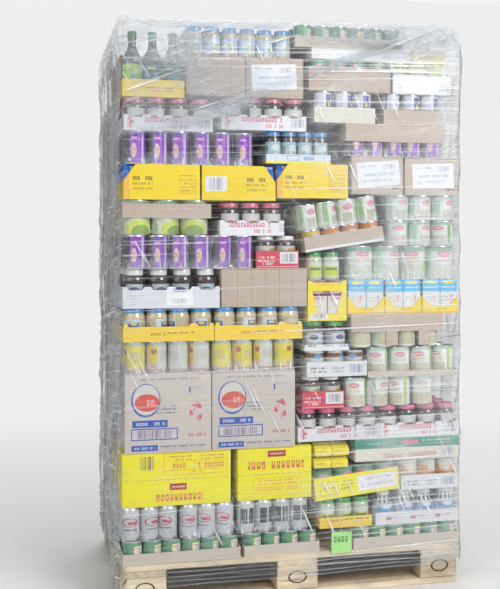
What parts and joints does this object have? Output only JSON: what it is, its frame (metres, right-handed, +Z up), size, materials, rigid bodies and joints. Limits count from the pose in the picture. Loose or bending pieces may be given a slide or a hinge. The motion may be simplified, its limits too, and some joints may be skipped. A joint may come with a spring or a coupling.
{
  "type": "wrapped pallet load",
  "caption": "Timber pallet with a mixed load of grocery trays, cans, jars, bottles and cartons held by stretch film.",
  "frame": {"origin": "on the floor, under the middle of the pallet", "axes": "+Z up, X along the pallet's 1200 mm side, -Y out of the front of the load"},
  "size_m": [1.2094, 0.8079, 1.9918],
  "materials": {
    "timber": "rough sawn softwood",
    "kraft_board": "uncoated corrugated board",
    "white_board": "printed corrugated board",
    "yellow_board": "printed corrugated board",
    "red_board": "printed corrugated board",
    "grey_board": "printed corrugated board",
    "cream_board": "printed corrugated board",
    "green_board": "printed folding board",
    "purple_label": "printed paper labels on tinned steel",
    "green_label": "printed paper labels on tinned steel",
    "white_label": "printed paper labels on tinned steel",
    "orange_label": "printed paper labels on tinned steel",
    "silver_can": "printed drawn cans",
    "dark_jar": "filled jars",
    "beige_jar": "filled jars",
    "blue_pack": "printed packs",
    "maroon_pack": "printed packs",
    "stretch_film": "clear stretched polyethylene",
    "note_paper": "printed paper slip"
  },
  "bodies": {
    "root": {"pallet_deck_boards": "timber", "pallet_cross_boards": "timber", "pallet_blocks": "timber", "pallet_base_boards": "timber", "small_cans": "green_label", "kraft_trays": "kraft_board", "drink_cans": "silver_can", "seasoning_cartons": "yellow_board", "cleaner_cartons": "grey_board", "soup_cans": "white_label", "dressing_jars": "beige_jar", "dressing_trays": "yellow_board", "sauce_jars": "dark_jar", "white_trays": "white_board", "kraft_cartons": "kraft_board", "purple_cans": "purple_label", "snack_jars": "dark_jar", "red_trays": "red_board", "banded_cans": "green_label", "kraft_bands": "kraft_board", "spread_jars": "dark_jar", "spread_trays": "white_board", "squeeze_packs": "blue_pack", "corner_cut_trays": "yellow_board", "baby_jars": "beige_jar", "pale_tray": "cream_board", "oil_bottles": "dark_jar", "blue_lid_jars": "blue_pack", "pickle_jars": "white_label", "yellow_trays": "yellow_board", "milk_bottles": "white_label", "soup_packets": "yellow_board", "pasta_cartons": "green_board", "vegetable_cans": "green_label", "tomato_cans": "orange_label", "kraft_caps": "kraft_board", "dessert_packets": "maroon_pack", "vee_cut_trays": "yellow_board", "meal_packets": "blue_pack", "big_cans": "white_label", "green_top_cans": "green_label", "short_vegetable_cans": "green_label", "labelled_cartons": "kraft_board", "blue_white_cans": "white_label", "cream_trays": "cream_board", "white_cartons": "white_board", "yellow_cartons": "yellow_board", "stretch_film": "stretch_film", "delivery_note": "note_paper"}
  },
  "joints": []
}
